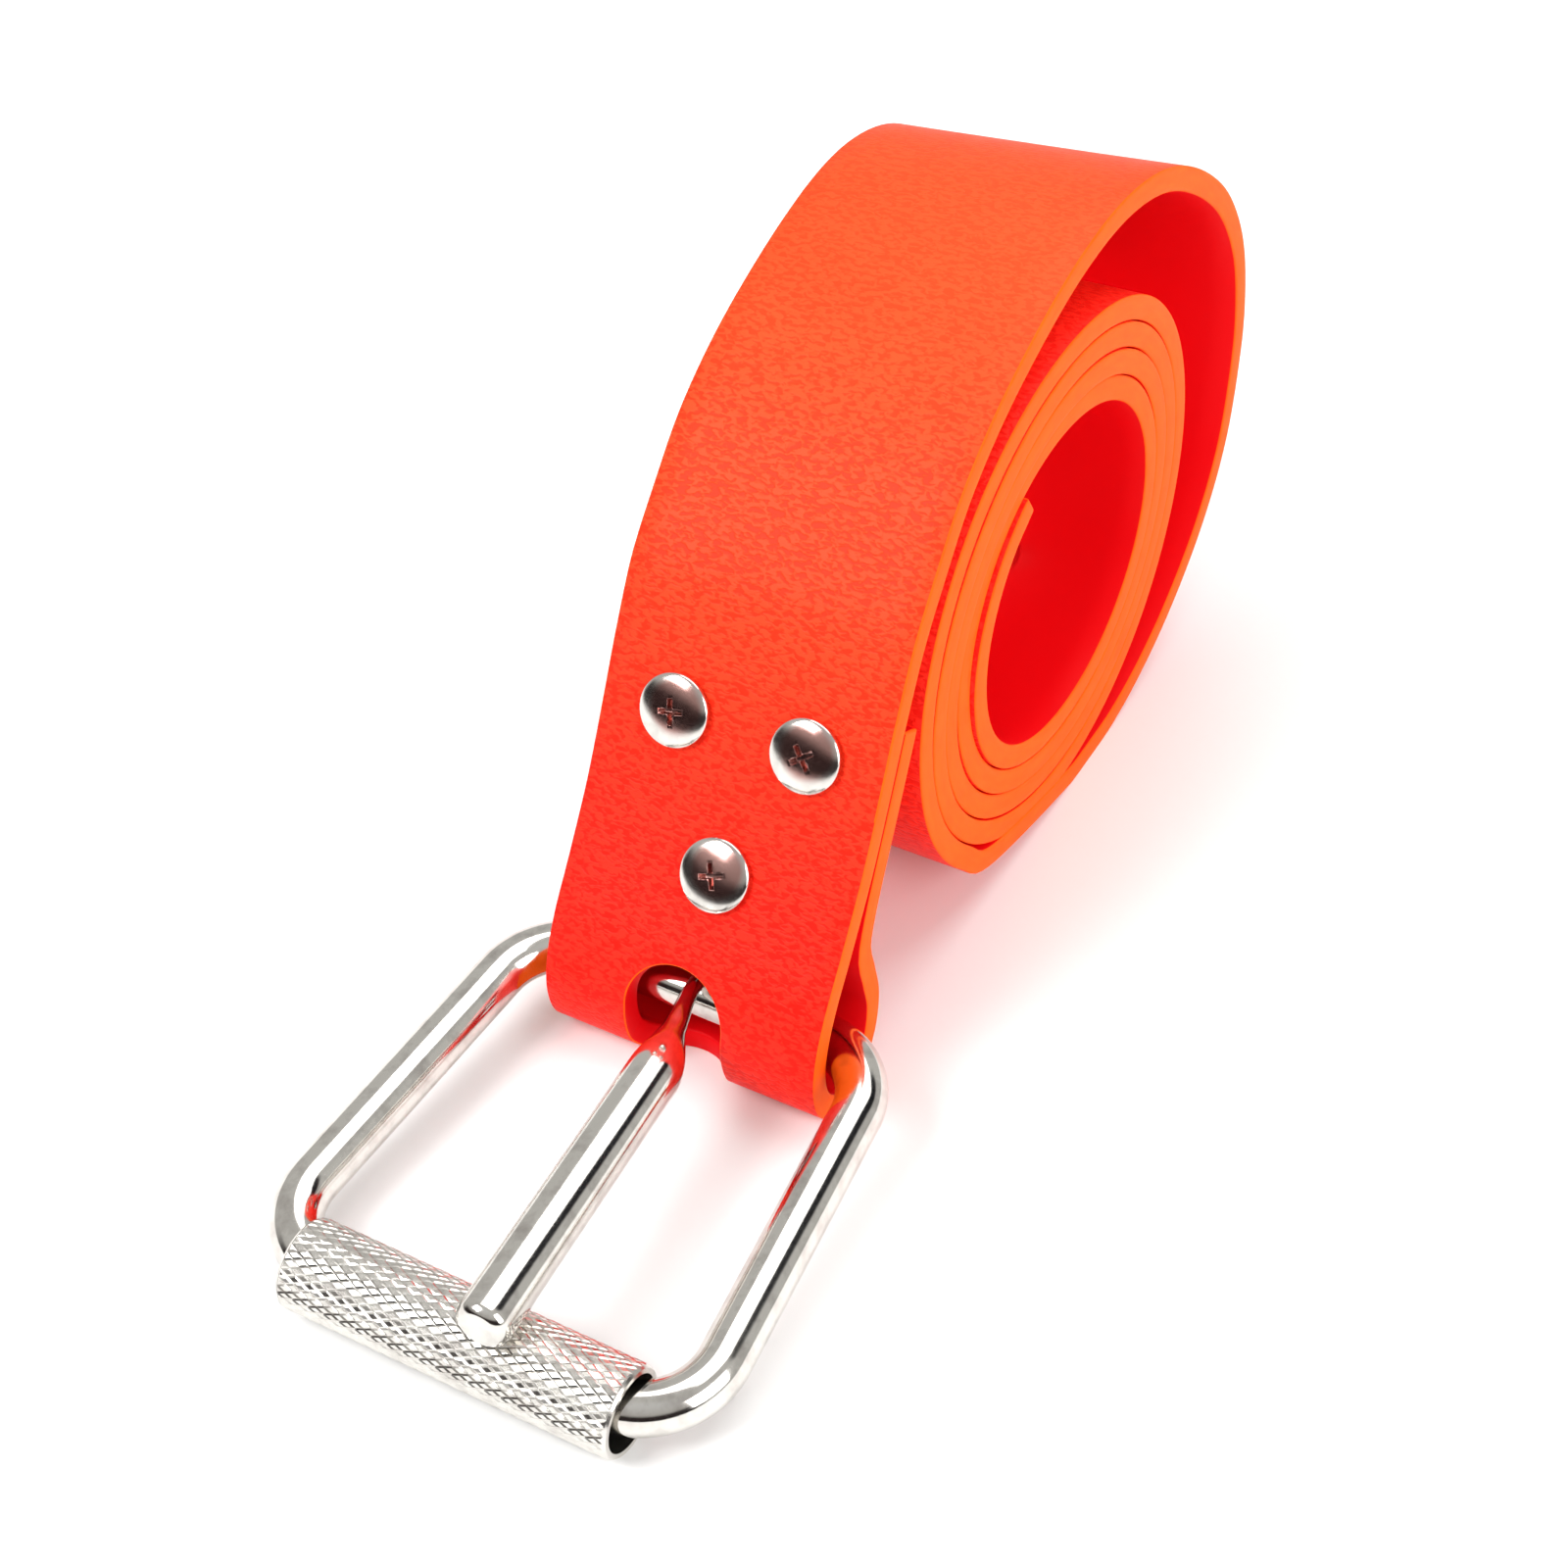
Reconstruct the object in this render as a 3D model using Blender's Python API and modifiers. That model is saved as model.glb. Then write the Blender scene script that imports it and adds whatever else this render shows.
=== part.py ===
"""Dive weight belt: a rolled rubber strap with a roller pin buckle on its folded end.

Metres, +Z up. X runs across the strap, Y from the buckle to the roll, Z up from the floor.
The strap is cut and punched flat, then every vertex is carried onto the rolled path.
"""
import math

import bmesh
import bpy
import numpy as np
from mathutils import Matrix, Vector

MM = 0.001

# Strap
STRAP_WIDTH = 50 * MM
STRAP_THICKNESS = 4.2 * MM
LAYER_PITCH = 4.5 * MM
ROLL_CENTRE = (41.6 * MM, 50.7 * MM)
ROLL_START_RADIUS = 31.4 * MM
ROLL_SAG = 2.2 * MM
TIP_ANGLE = 118
LAST_COIL_ANGLE = 1690
COIL_STEP = 15
SEGMENT_LENGTH = 5 * MM
FOLD_SEGMENT_LENGTH = 1.6 * MM
FOLD_START_HEIGHT = 30 * MM
FOLD_LENGTH = 62 * MM
FREE_TAIL_LENGTH = 110 * MM

# How far the roll's left edge sits inside its right edge, and over what distance that builds up
EDGE_LEAN_INNER = 5 * MM
LEAN_REACH_INNER = 45 * MM
EDGE_LEAN_OUTER = 11 * MM
LEAN_REACH_OUTER = 72 * MM
LEAN_CLEAR_OF_FLOOR = 30 * MM
EDGE_LEAN_TOP = 3 * MM
LEAN_TOP_HEIGHT = 75 * MM
LEAN_REACH_TOP = 36 * MM
OUTER_TURN_LENGTH = 480 * MM

# Centre line of the flat foot, the loose outer turn and the tail, (y, z) in millimetres
FOOT = ((48, 2.1), (61, 2.1))
OUTER_TURN = ((74.4, 5.0), (88, 11.4), (100.6, 21.5), (109.2, 34.2), (113.1, 50), (113.4, 62),
              (110.6, 75), (103.5, 87.3), (93.8, 97), (81.4, 105.4), (69.5, 109.9), (57, 111.4),
              (43.4, 109.9), (30, 105.8), (17, 100), (6.2, 92.7), (-1.9, 84.1), (-9.3, 75.1),
              (-15.6, 64.6), (-21.3, 53.9), (-27.6, 42.6), (-34.6, 32.2), (-40.4, 24.1))
FOLD = ((-43.7, 17.6), (-44.9, 11.5), (-43.6, 5.7), (-39.4, 2.1), (-33.4, 2.7), (-28.7, 7.6),
        (-27.0, 14.2), (-28.0, 20.7))
# The short ply's spacing behind the tail, by distance below the lower screw, in millimetres
PLY_SPACING = ((-8, 4.6), (0, 5.6), (6, 7.4))

# Buckle
BAR_RADIUS = 4.2 * MM
BACK_BAR = (-36.8 * MM, 12.9 * MM)
FRONT_BAR = (-108.5 * MM, 7.4 * MM)
FRONT_HALF_WIDTH = 36.4 * MM
BACK_HALF_WIDTH = 33.6 * MM
CORNER_RADIUS = 12.5 * MM
ROLLER_RADIUS = 7.4 * MM
ROLLER_BORE = 6.2 * MM
ROLLER_LENGTH = 58.4 * MM
ROLLER_CHAMFER = 0.4 * MM
TONGUE_RADIUS = 4.5 * MM
TONGUE_HOOK_RADIUS = 1.25 * MM
TONGUE_HOOK_TURN = 5.85 * MM
TONGUE_HOOK_ANGLES = (72, -105)
TONGUE_ROOT_REACH = 5.5 * MM
TONGUE_TIP = Vector((7.5, -113.3, 19.35)) * MM
TONGUE_SHOULDER = Vector((4.3, -60.5, 19.1)) * MM
# The neck bends from the rod's line to the middle of the bar: (x, y, z) in mm, share of the radius
TONGUE_NECK = ((3.9, -57.2, 19.1, 0.82), (2.9, -53.3, 18.9, 0.53), (1.3, -46.8, 18.75, 0.33))

# Slot, punched holes and binding screws
SLOT_WIDTH = 17.6 * MM
SLOT_X = -1 * MM
SLOT_TOP_HEIGHT = 22.9 * MM
SLOT_PAST_FOLD = 1 * MM
PUNCH_COUNT = 7
PUNCH_RADIUS = 4.8 * MM
PUNCH_FIRST = 83 * MM
PUNCH_PITCH = 26 * MM
SCREW_HOLE_RADIUS = 3.5 * MM
UPPER_SCREW_HEIGHT = 56.6 * MM
LOWER_SCREW_HEIGHT = 36.4 * MM
SCREW_SPREAD = 11.7 * MM
LOWER_SCREW_X = 1.2 * MM
SCREW_HEAD_RADIUS = 6.1 * MM
SCREW_HEAD_RISE = 1.9 * MM
SCREW_RIM_RISE = 0.7 * MM
SCREW_TIP_CLEARANCE = 2 * MM
RECESS_SIZE = (6.4 * MM, 1.3 * MM, 2.2 * MM)
SCREW_SHANK_RADIUS = 1.6 * MM
POST_RADIUS = 2.5 * MM
POST_BORE = 1.95 * MM
POST_HEAD_RADIUS = 5 * MM
POST_HEAD_RISE = 1.4 * MM
POST_CHAMFER = 0.5 * MM
POST_TOP_DEPTH = 0.6 * MM
POST_FLOOR_DEPTH = 0.2 * MM
POST_SEAT = 7.5 * MM
PLY_END_PAST_SCREWS = 7 * MM
GAP = 0.35 * MM

STEEL = ("nickel_steel", (0.78, 0.76, 0.72), 0.18, 1.0)
ROLLER_STEEL = ("knurled_steel", (0.74, 0.72, 0.70), 0.3, 1.0)
RUBBER = ("orange_rubber", (1.0, 0.12, 0.03), 0.5, 0.0)


def clear_scene():
    """Remove every object so that the script can be run again in an open file."""
    for thing in list(bpy.data.objects):
        bpy.data.objects.remove(thing, do_unlink=True)


def new_collection(name):
    group = bpy.data.collections.new(name)
    bpy.context.scene.collection.children.link(group)
    return group


def make_material(spec):
    """A Principled material from (name, colour, roughness, metallic)."""
    name, colour, roughness, metallic = spec
    material = bpy.data.materials.get(name) or bpy.data.materials.new(name)
    material.use_nodes = True
    shader = material.node_tree.nodes["Principled BSDF"]
    shader.inputs["Base Color"].default_value = (*colour, 1)
    shader.inputs["Roughness"].default_value = roughness
    shader.inputs["Metallic"].default_value = metallic
    material.diffuse_color = (*colour, 1)
    return material


def move_to(thing, group):
    """Leave the object in one collection only."""
    for old in list(thing.users_collection):
        old.objects.unlink(thing)
    group.objects.link(thing)


def finish_part(thing, name, spec, group):
    """Name the object, give it its own material and put it in the belt's collection."""
    thing.name = name
    thing.data.name = name
    thing.data.materials.clear()
    thing.data.materials.append(make_material((f"{name}_{spec[0]}", *spec[1:])))
    move_to(thing, group)
    return thing


def bake(thing):
    """Replace the object's data with its evaluated mesh."""
    graph = bpy.context.evaluated_depsgraph_get()
    mesh = bpy.data.meshes.new_from_object(thing.evaluated_get(graph))
    solid = bpy.data.objects.new(thing.name, mesh)
    solid.matrix_world = thing.matrix_world.copy()
    bpy.context.scene.collection.objects.link(solid)
    bpy.data.objects.remove(thing, do_unlink=True)
    return solid


def set_pivot(thing, pivot):
    """Put the object's origin on its joint axis without moving its surface."""
    shift = Matrix.Translation(Vector(pivot))
    thing.data.transform(shift.inverted() @ thing.matrix_world)
    thing.matrix_world = shift


# ---------------------------------------------------------------- the strap's path

def coil_point(angle):
    """Centre line of the tight coil, anticlockwise from the tip as seen from +X."""
    turn = math.radians(angle)
    radius = ROLL_START_RADIUS + LAYER_PITCH * (angle - 180) / 360
    radius -= ROLL_SAG * math.sin(turn) ** 2
    return (ROLL_CENTRE[0] + radius * math.cos(turn), ROLL_CENTRE[1] + radius * math.sin(turn))


def spline(knots, steps=24):
    """Catmull-Rom curve through the knots, as an array of (y, z)."""
    knots = [Vector(k) for k in knots]
    ends = [2 * knots[0] - knots[1]] + knots + [2 * knots[-1] - knots[-2]]
    points = []
    for p0, p1, p2, p3 in zip(ends, ends[1:], ends[2:], ends[3:]):
        for i in range(steps):
            t = i / steps
            points.append(0.5 * (2 * p1 + (p2 - p0) * t + (2 * p0 - 5 * p1 + 4 * p2 - p3) * t ** 2
                                 + (3 * p1 - 3 * p2 + p3 - p0) * t ** 3))
    points.append(knots[-1])
    return np.array([tuple(p) for p in points])


class Path:
    """The strap's centre line in the YZ plane, measured along its length."""

    def __init__(self, knots):
        self.points = spline(knots)
        self.points[:, 1] = np.maximum(self.points[:, 1], STRAP_THICKNESS / 2)
        steps = np.linalg.norm(np.diff(self.points, axis=0), axis=1)
        self.stations = np.concatenate([[0], np.cumsum(steps)])
        self.length = self.stations[-1]
        tangents = np.gradient(self.points, self.stations, axis=0)
        tangents /= np.linalg.norm(tangents, axis=1)[:, None]
        self.normals = np.column_stack([tangents[:, 1], -tangents[:, 0]])

    def at(self, station):
        """The centre line's (y, z) and its outward normal at a distance along the strap."""
        point = [np.interp(station, self.stations, self.points[:, i]) for i in (0, 1)]
        normal = Vector([np.interp(station, self.stations, self.normals[:, i]) for i in (0, 1)])
        return Vector(point), normal.normalized()

    def station_at_height(self, height, start, end):
        """The distance along the strap at which a falling stretch reaches a height."""
        inside = (self.stations >= start) & (self.stations <= end)
        heights = self.points[inside, 1]
        return float(self.stations[inside][np.argmin(abs(heights - height))])

    def nearest(self, origin, direction, start):
        """The distance along the strap, after start, that lies nearest a straight axis."""
        inside = self.stations >= start
        away = self.points[inside] - np.array(origin)
        across = abs(away[:, 0] * direction[1] - away[:, 1] * direction[0])
        return float(self.stations[inside][np.argmin(across)])


def strap_knots():
    """Knots of the whole strap: coil, outer turn, tail, fold and the short ply behind the tail."""
    knots = [coil_point(angle) for angle in range(TIP_ANGLE, LAST_COIL_ANGLE, COIL_STEP)]
    knots += [(y * MM, z * MM) for y, z in FOOT + OUTER_TURN + FOLD]
    tail = Path(knots[:-len(FOLD) + 2])
    start = tail.length - FREE_TAIL_LENGTH
    upper = tail.station_at_height(UPPER_SCREW_HEIGHT, start, tail.length)
    lower = tail.station_at_height(LOWER_SCREW_HEIGHT, start, tail.length)
    ply_end = upper - PLY_END_PAST_SCREWS
    below, spacings = np.array(PLY_SPACING).T * MM
    for station in np.linspace(lower + below[-1], ply_end, 7):
        point, normal = tail.at(station)
        knots.append(tuple(point - normal * np.interp(station - lower, below, spacings)))
    return knots, upper, lower


def edge_lean(path, station):
    """How far the roll's left edge sits inside its right edge at this place on the strap."""
    (y, z), _ = path.at(station)
    behind = y - ROLL_CENTRE[0]
    if station < path.length - OUTER_TURN_LENGTH:
        return EDGE_LEAN_INNER * share(behind, LEAN_REACH_INNER) ** 2
    back = share(behind, LEAN_REACH_OUTER)
    clear = share(z - STRAP_THICKNESS, LEAN_CLEAR_OF_FLOOR)
    top = share(z - LEAN_TOP_HEIGHT, LEAN_REACH_TOP)
    return EDGE_LEAN_OUTER * clear * back ** 2 + EDGE_LEAN_TOP * top * (1 - back)


def share(distance, reach):
    """A distance as a part of its reach, from 0 to 1."""
    return min(1.0, max(0.0, distance / reach))


def roll_up(mesh, path):
    """Carry a flat strap (x across, y along, z outwards) onto the path."""
    for vertex in mesh.vertices:
        across, station, outward = vertex.co
        point, normal = path.at(station)
        lean = edge_lean(path, station) * (STRAP_WIDTH / 2 - across) / STRAP_WIDTH
        place = point + normal * (outward - lean)
        vertex.co = (across, place[0], place[1])
    mesh.update()


def strap_stations(path, fold_start):
    """Cross lines along the strap, closer together round the fold."""
    rows = [0.0]
    while rows[-1] < path.length:
        near_fold = fold_start < rows[-1] < fold_start + FOLD_LENGTH
        rows.append(rows[-1] + (FOLD_SEGMENT_LENGTH if near_fold else SEGMENT_LENGTH))
    rows[-1] = path.length
    return rows


def flat_strap(rows):
    """A flat strap with a cross line at each of the rows."""
    bpy.ops.mesh.primitive_grid_add(x_subdivisions=1, y_subdivisions=len(rows) - 1, size=1)
    strap = bpy.context.object
    strap.name = "strap"
    for vertex in strap.data.vertices:
        row = round((vertex.co.y + 0.5) * (len(rows) - 1))
        vertex.co = (vertex.co.x * STRAP_WIDTH, rows[row], 0)
    solidify = strap.modifiers.new("thickness", "SOLIDIFY")
    solidify.thickness = STRAP_THICKNESS
    solidify.offset = 0
    return bake(strap)


def round_cutter(x, station, radius, group):
    """A round punch through the flat strap."""
    bpy.ops.mesh.primitive_cylinder_add(vertices=20, radius=radius, depth=4 * STRAP_THICKNESS,
                                        location=(x, station, 0))
    cutter = bpy.context.object
    cutter.name = "punch_cutter"
    return hide_cutter(cutter, group)


def slot_cutter(start, end, group):
    """A long oval punch for the tongue, from one distance along the strap to another."""
    radius = SLOT_WIDTH / 2
    outline = bpy.data.curves.new("slot_cutter", "CURVE")
    outline.dimensions = "2D"
    outline.fill_mode = "BOTH"
    outline.extrude = 2 * STRAP_THICKNESS
    line = outline.splines.new("POLY")
    corners = []
    for centre, first in ((end - radius, 0), (start + radius, 180)):
        for angle in range(first, first + 181, 15):
            turn = math.radians(angle)
            corners.append((SLOT_X + radius * math.cos(turn), centre + radius * math.sin(turn), 0, 1))
    line.points.add(len(corners) - 1)
    for point, corner in zip(line.points, corners):
        point.co = corner
    line.use_cyclic_u = True
    cutter = bpy.data.objects.new("slot_cutter", outline)
    bpy.context.scene.collection.objects.link(cutter)
    cutter = bake(cutter)
    weld(cutter.data)
    return hide_cutter(cutter, group)


def weld(mesh, distance=0.00001):
    """Join vertices that lie in one place and turn the faces outwards."""
    edit = bmesh.new()
    edit.from_mesh(mesh)
    bmesh.ops.remove_doubles(edit, verts=edit.verts, dist=distance)
    bmesh.ops.recalc_face_normals(edit, faces=edit.faces)
    edit.to_mesh(mesh)
    edit.free()


def hide_cutter(cutter, group):
    move_to(cutter, group)
    cutter.hide_render = True
    cutter.display_type = "WIRE"
    return cutter


def cut(body, cutters):
    """Take the cutters out of the body and return the baked result."""
    for cutter in cutters:
        boolean = body.modifiers.new("cut", "BOOLEAN")
        boolean.operation = "DIFFERENCE"
        boolean.solver = "EXACT"
        boolean.object = cutter
    return bake(body)


def build_strap(path, upper, lower, group, cutter_group):
    """The strap with its tongue slot, screw holes and adjustment holes, rolled up."""
    falling_end = upper + FOLD_LENGTH
    fold_start = path.station_at_height(FOLD_START_HEIGHT, upper, falling_end)
    slot_top = path.station_at_height(SLOT_TOP_HEIGHT, upper, falling_end)
    fold_bottom = path.station_at_height(STRAP_THICKNESS / 2, upper, upper + 1.5 * FOLD_LENGTH)
    cutters = [slot_cutter(slot_top, fold_bottom + SLOT_PAST_FOLD, cutter_group)]
    for x, station, back_station in screw_stations(path, upper, lower):
        for place in (station, back_station):
            cutters.append(round_cutter(x, place, SCREW_HOLE_RADIUS, cutter_group))
    for i in range(PUNCH_COUNT):
        place = PUNCH_FIRST + i * PUNCH_PITCH
        cutters.append(round_cutter(0, place, PUNCH_RADIUS, cutter_group))
    strap = cut(flat_strap(strap_stations(path, fold_start)), cutters)
    roll_up(strap.data, path)
    weld(strap.data)
    return finish_part(strap, "strap", RUBBER, group)


def screw_stations(path, upper, lower):
    """Each screw's x and its places along the strap in the front ply and in the short ply."""
    places = []
    for x, station in ((-SCREW_SPREAD, upper), (SCREW_SPREAD, upper), (LOWER_SCREW_X, lower)):
        point, normal = path.at(station)
        places.append((x, station, path.nearest(point, normal, station + FOLD_LENGTH)))
    return places


# ---------------------------------------------------------------- turned and swept pieces

def turned(name, profile, segments):
    """A solid turned about its local Z axis from an outline of (radius, height)."""
    mesh = bpy.data.meshes.new(name)
    edges = [(i, i + 1) for i in range(len(profile) - 1)]
    if profile[0][0] > 0:
        edges.append((len(profile) - 1, 0))
    mesh.from_pydata([(radius, 0, height) for radius, height in profile], edges, [])
    body = bpy.data.objects.new(name, mesh)
    bpy.context.scene.collection.objects.link(body)
    screw = body.modifiers.new("turn", "SCREW")
    screw.steps = segments
    screw.render_steps = segments
    screw.use_merge_vertices = True
    screw.merge_threshold = 0.00001
    body = bake(body)
    weld(body.data)
    return body


def swept(name, points, radii, cyclic, sides):
    """A round rod along a line of points, with a radius at each point."""
    line = bpy.data.curves.new(name, "CURVE")
    line.dimensions = "3D"
    line.bevel_depth = 1
    line.bevel_resolution = sides // 4 - 1
    line.use_fill_caps = not cyclic
    path = line.splines.new("POLY")
    path.points.add(len(points) - 1)
    for knot, place, radius in zip(path.points, points, radii):
        knot.co = (*place, 1)
        knot.radius = radius
    path.use_cyclic_u = cyclic
    rod = bpy.data.objects.new(name, line)
    bpy.context.scene.collection.objects.link(rod)
    rod = bake(rod)
    weld(rod.data)
    return rod


def arc(centre, start, end, radius, steps):
    """Points round an arc, with angles in degrees."""
    turns = [math.radians(start + (end - start) * i / steps) for i in range(steps + 1)]
    return [(centre[0] + radius * math.cos(a), centre[1] + radius * math.sin(a)) for a in turns]


def frame_outline():
    """The frame's centre line in its own plane: x across, y from the front bar to the back bar."""
    length = math.dist(BACK_BAR, FRONT_BAR)
    slope = math.degrees(math.atan2(FRONT_HALF_WIDTH - BACK_HALF_WIDTH, length))
    r = CORNER_RADIUS
    outline = []
    for half, y, low, high in ((FRONT_HALF_WIDTH, 0, 270, 360), (BACK_HALF_WIDTH, length, 0, 90)):
        middle = r if y == 0 else y - r
        low, high = (low, high + slope) if y == 0 else (low + slope, high)
        side = half - r * math.cos(math.radians(slope))
        outline += arc((side, middle), low, high, r, 9)
    return outline + [(-x, y) for x, y in reversed(outline)]


def build_frame(group):
    """The round-wire frame, lying from the roller up to the bar inside the fold."""
    front = Vector((0, *FRONT_BAR))
    along = (Vector((0, *BACK_BAR)) - front).normalized()
    points = [front + Vector((x, 0, 0)) + along * y for x, y in frame_outline()]
    frame = swept("buckle_frame", points, [BAR_RADIUS] * len(points), True, 24)
    set_pivot(frame, (0, *BACK_BAR))
    return finish_part(frame, "buckle_frame", STEEL, group)


def build_roller(group):
    """The thin-walled roller that turns on the front bar."""
    half = ROLLER_LENGTH / 2
    soft = ROLLER_CHAMFER
    profile = [(ROLLER_BORE, -half), (ROLLER_RADIUS - soft, -half), (ROLLER_RADIUS, -half + soft),
               (ROLLER_RADIUS, half - soft), (ROLLER_RADIUS - soft, half), (ROLLER_BORE, half)]
    roller = turned("roller", profile, 48)
    roller.matrix_world = Matrix.Translation((0, *FRONT_BAR)) @ Matrix.Rotation(math.pi / 2, 4, "Y")
    set_pivot(roller, (0, *FRONT_BAR))
    return finish_part(roller, "roller", ROLLER_STEEL, group)


def tongue_route():
    """The tongue's centre line and radii, from its tip to the end of its hook."""
    hook_y, hook_z = BACK_BAR
    turn = TONGUE_HOOK_TURN
    route = [(TONGUE_TIP, 0.72), (TONGUE_TIP + Vector((-0.1, 1.2, 0)) * MM, 0.93),
             (TONGUE_TIP + Vector((-0.2, 2.6, 0)) * MM, 1.0),
             (TONGUE_TIP.lerp(TONGUE_SHOULDER, 0.5), 1.0), (TONGUE_SHOULDER, 1.0)]
    route += [(Vector((x, y, z)) * MM, wide) for x, y, z, wide in TONGUE_NECK]
    route = [(place, wide * TONGUE_RADIUS) for place, wide in route]
    route += [(Vector((0, hook_y - reach, hook_z + turn)), TONGUE_HOOK_RADIUS)
              for reach in (TONGUE_ROOT_REACH, 0)]
    for y, z in arc((hook_y, hook_z), *TONGUE_HOOK_ANGLES, turn, 12):
        route.append((Vector((0, y, z)), TONGUE_HOOK_RADIUS))
    return route


def build_tongue(group):
    """The pin that hooks round the back bar and rests on the roller."""
    route = tongue_route()
    tongue = swept("tongue", [place for place, _ in route], [r for _, r in route], False, 24)
    set_pivot(tongue, (0, *BACK_BAR))
    return finish_part(tongue, "tongue", STEEL, group)


# ---------------------------------------------------------------- binding screws

def stand_on(body, point, normal, x):
    """Turn a turned piece so that its Z axis follows the strap's normal at a place."""
    out = Vector((0, normal[0], normal[1]))
    turn = out.to_track_quat("Z", "Y").to_matrix().to_4x4()
    body.matrix_world = Matrix.Translation((x, point[0], point[1])) @ turn
    set_pivot(body, (x, point[0], point[1]))


def cross_recess(height, group):
    """Two crossed blades that cut a screwdriver recess."""
    blades = []
    for turn in (0, math.pi / 2):
        bpy.ops.mesh.primitive_cube_add(size=1, location=(0, 0, height), rotation=(0, 0, turn))
        blade = bpy.context.object
        blade.scale = RECESS_SIZE
        bpy.ops.object.transform_apply(scale=True)
        blade.name = "recess_cutter"
        blades.append(hide_cutter(blade, group))
    return blades


def build_screw(name, depth, cutter_group):
    """A low domed screw whose head lies on the outer face, height 0 at the strap's middle."""
    base = STRAP_THICKNESS / 2 + GAP
    rim = base + SCREW_RIM_RISE
    dome = SCREW_HEAD_RISE - SCREW_RIM_RISE
    head = [(SCREW_HEAD_RADIUS * math.cos(math.radians(a)), rim + dome * math.sin(math.radians(a)))
            for a in range(0, 90, 15)]
    profile = [(0, -depth), (SCREW_SHANK_RADIUS, -depth), (SCREW_SHANK_RADIUS, base),
               (SCREW_HEAD_RADIUS, base)] + head + [(0, base + SCREW_HEAD_RISE)]
    screw = turned(name, profile, 32)
    return cut(screw, cross_recess(base + SCREW_HEAD_RISE, cutter_group))


def build_post(name, depth):
    """The threaded barrel behind the plies, with its flat head and its bore open to the screw."""
    top = STRAP_THICKNESS / 2 - POST_TOP_DEPTH
    foot = -depth - POST_HEAD_RISE
    floor = -depth - POST_FLOOR_DEPTH
    soft = POST_CHAMFER
    profile = [(0, foot), (POST_HEAD_RADIUS - soft, foot), (POST_HEAD_RADIUS, foot + soft),
               (POST_HEAD_RADIUS, -depth), (POST_RADIUS, -depth), (POST_RADIUS, top),
               (POST_BORE, top), (POST_BORE, floor), (0, floor)]
    return turned(name, profile, 28)


def build_screws(path, upper, lower, group, cutter_group):
    """Three screw and post pairs, two side by side above one on the middle line."""
    for name, place in zip(("left", "right", "lower"), screw_stations(path, upper, lower)):
        x, station, back_station = place
        point, normal = path.at(station)
        behind, behind_normal = path.at(back_station)
        tilt = math.sin(math.acos(min(1, abs(normal.dot(behind_normal)))))
        depth = (behind - point).length + STRAP_THICKNESS / 2 + GAP + POST_SEAT * tilt
        screw = build_screw(f"screw_{name}", depth - SCREW_TIP_CLEARANCE, cutter_group)
        stand_on(screw, point, normal, x)
        finish_part(screw, f"screw_{name}", STEEL, group)
        post = build_post(f"post_{name}", depth)
        stand_on(post, point, normal, x)
        finish_part(post, f"post_{name}", STEEL, group)


def main():
    clear_scene()
    group = new_collection("dive_weight_belt")
    cutter_group = new_collection("cutters")
    knots, upper, lower = strap_knots()
    path = Path(knots)
    build_strap(path, upper, lower, group, cutter_group)
    build_frame(group)
    build_roller(group)
    build_tongue(group)
    build_screws(path, upper, lower, group, cutter_group)


main()
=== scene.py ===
import math

import bpy
import numpy as np
from mathutils import Matrix, Vector


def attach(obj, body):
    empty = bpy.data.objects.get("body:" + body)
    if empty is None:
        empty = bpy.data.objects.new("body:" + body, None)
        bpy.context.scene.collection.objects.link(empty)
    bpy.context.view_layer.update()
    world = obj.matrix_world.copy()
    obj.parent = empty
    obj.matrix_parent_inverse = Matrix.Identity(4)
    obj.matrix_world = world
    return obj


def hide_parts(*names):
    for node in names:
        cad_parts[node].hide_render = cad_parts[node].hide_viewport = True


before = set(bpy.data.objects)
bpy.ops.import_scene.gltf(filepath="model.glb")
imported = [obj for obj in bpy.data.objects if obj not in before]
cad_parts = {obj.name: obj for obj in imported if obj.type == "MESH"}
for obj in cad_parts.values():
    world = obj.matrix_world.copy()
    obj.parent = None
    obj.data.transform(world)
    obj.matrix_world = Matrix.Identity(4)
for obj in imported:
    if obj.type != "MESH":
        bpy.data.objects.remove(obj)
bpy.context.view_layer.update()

mm = 0.001


# ---- small helpers for working in object and edit mode

def deselectAll():
    if bpy.context.object and bpy.context.object.mode != "OBJECT":
        bpy.ops.object.mode_set(mode="OBJECT")
    bpy.ops.object.select_all(action="DESELECT")


def takeObject(name):
    piece = bpy.context.object
    piece.name = name
    piece.data.name = name
    return piece


def makeActive(piece):
    deselectAll()
    piece.select_set(True)
    bpy.context.view_layer.objects.active = piece


def editMesh(kind="VERT", select="NONE"):
    bpy.ops.object.mode_set(mode="EDIT")
    bpy.ops.mesh.select_mode(type=kind)
    bpy.ops.mesh.select_all(action={"ALL": "SELECT"}.get(select, "DESELECT"))


def objectMode():
    bpy.ops.object.mode_set(mode="OBJECT")


def pickParts(piece, parts, test):
    # selects the vertices, edges or faces that pass the test, and nothing else
    editMesh({"vertices": "VERT", "edges": "EDGE", "polygons": "FACE"}[parts])
    objectMode()
    for part in getattr(piece.data, parts):
        part.select = bool(test(part))
    bpy.ops.object.mode_set(mode="EDIT")


def extrudeBy(step):
    bpy.ops.mesh.extrude_region_move(TRANSFORM_OT_translate={"value": tuple(step)})


def resizeAbout(factors, centre):
    bpy.ops.transform.resize(value=tuple(factors), center_override=tuple(centre))


def closeAndTurnOut(distance=0.01 * mm):
    bpy.ops.mesh.select_all(action="SELECT")
    bpy.ops.mesh.remove_doubles(threshold=distance)
    bpy.ops.mesh.normals_make_consistent(inside=False)


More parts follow.
